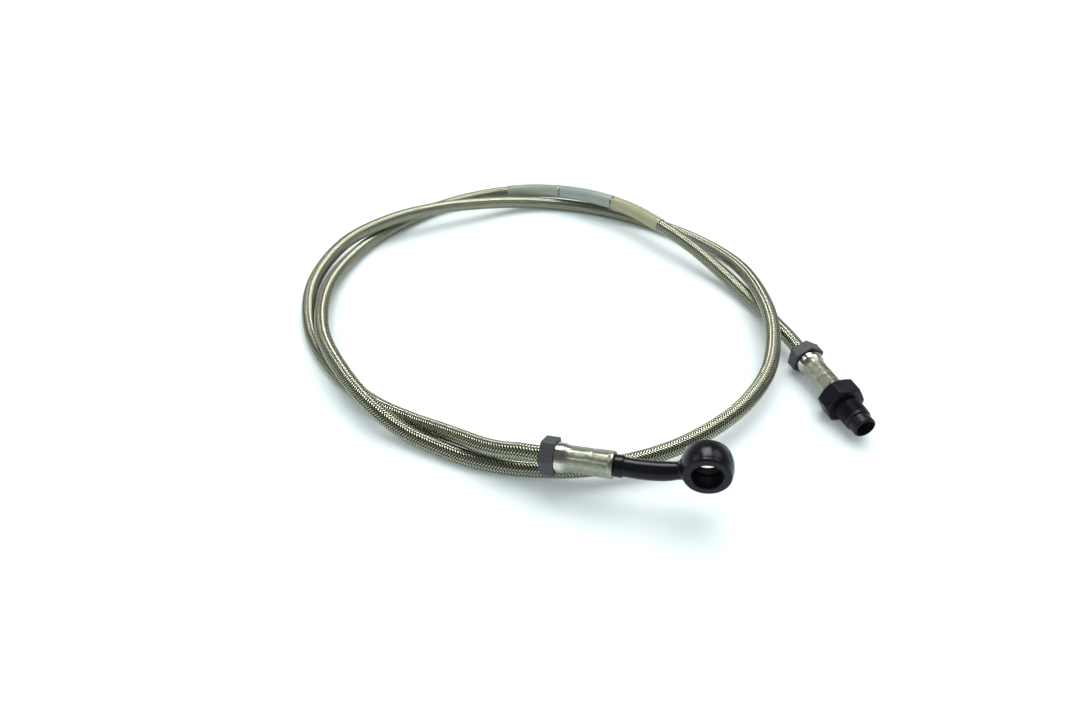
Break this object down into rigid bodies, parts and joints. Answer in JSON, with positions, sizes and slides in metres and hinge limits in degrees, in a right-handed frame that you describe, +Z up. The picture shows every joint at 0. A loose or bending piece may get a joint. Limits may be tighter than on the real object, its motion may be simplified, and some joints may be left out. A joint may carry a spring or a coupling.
{
  "type": "brake hose",
  "caption": "Braided stainless brake hose laid in a double loop, with a banjo eye at one end, a male threaded fitting at the other and clear sleeves over the braid.",
  "frame": {"origin": "under the middle of the loop, on the surface that the hose lies on (bottom centre of the overall box)", "axes": "+Z up from the surface the hose lies on, +X to the right and +Y away from the viewer of the picture; the banjo eye is at the front and the male fitting at the front right"},
  "size_m": [0.2273, 0.2234, 0.0301],
  "materials": {
    "stainless_braid": "woven stainless wire, satin",
    "liner_plastic": "waxy white",
    "clear_sleeve_grey": "clear, greyish",
    "clear_sleeve_silver": "clear, silvery",
    "clear_sleeve_yellow": "clear, yellowish",
    "nickel_plate": "bright nickel",
    "black_collar": "matt black",
    "black_fitting": "satin black plating"
  },
  "bodies": {
    "root": {"hose_braid": "stainless_braid", "hose_liner": "liner_plastic", "identification_sleeve_1": "clear_sleeve_grey", "identification_sleeve_2": "clear_sleeve_silver", "identification_sleeve_3": "clear_sleeve_yellow", "banjo_hex_collar": "black_collar", "banjo_ferrule": "nickel_plate", "banjo_fitting": "black_fitting", "male_hex_collar": "black_collar", "male_ferrule": "nickel_plate", "male_fitting": "black_fitting"}
  },
  "joints": []
}
